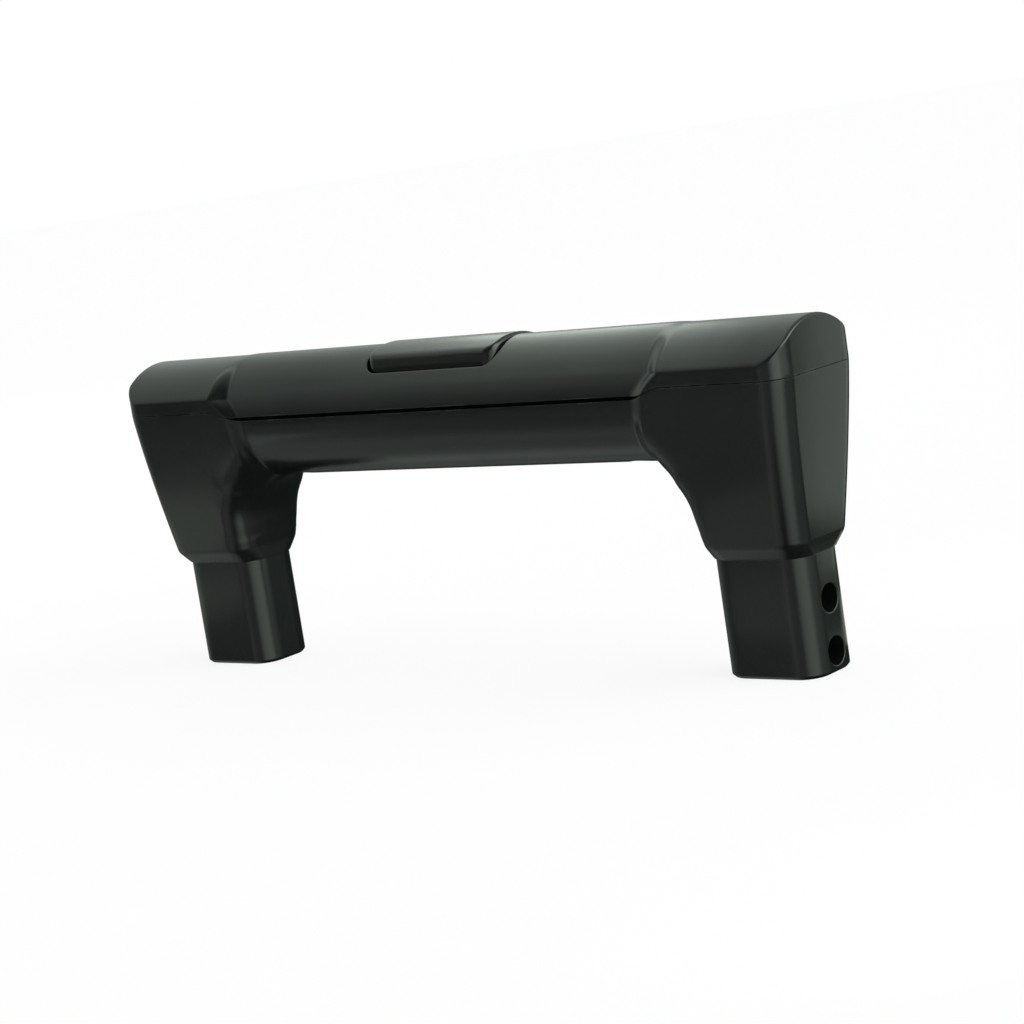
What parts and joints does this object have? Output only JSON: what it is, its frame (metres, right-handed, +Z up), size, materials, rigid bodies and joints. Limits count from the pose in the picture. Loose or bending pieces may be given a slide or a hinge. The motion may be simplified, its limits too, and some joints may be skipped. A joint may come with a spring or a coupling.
{
  "type": "luggage handle",
  "caption": "Pull handle for the top of a telescopic luggage frame: moulded grip bar with tapered legs, tube plugs and a push button that releases the tubes.",
  "frame": {"origin": "midway between the two plug ends, at the level of the ends", "axes": "+X along the grip bar to the right as seen from the front, -Y towards the front, +Z up from the plugs to the grip"},
  "size_m": [0.158, 0.0242, 0.0623],
  "materials": {
    "body_plastic": "semi-gloss black moulding",
    "cover_plastic": "semi-gloss black moulding",
    "button_plastic": "semi-gloss black moulding",
    "link_plastic": "plain dark moulding",
    "rod_steel": "drawn, zinc plated",
    "spring_steel": "bright spring wire",
    "screw_steel": "zinc plated"
  },
  "bodies": {
    "handle": {"lower_body": "body_plastic", "upper_cover": "cover_plastic", "cover_screws": "screw_steel", "return_spring_left": "spring_steel", "return_spring_right": "spring_steel"},
    "release": {"release_button": "button_plastic", "linkage_bar": "link_plastic", "push_rod_left": "rod_steel", "push_rod_right": "rod_steel"}
  },
  "joints": [
    {"name": "button_press", "type": "slide", "parent": "handle", "child": "release", "axis": [0, 0, -1], "range_m": [0, 0.004], "stiffness_N_per_m": 1600, "springref_m": -0.002, "deforming": ["return_spring_left", "return_spring_right"]}
  ]
}
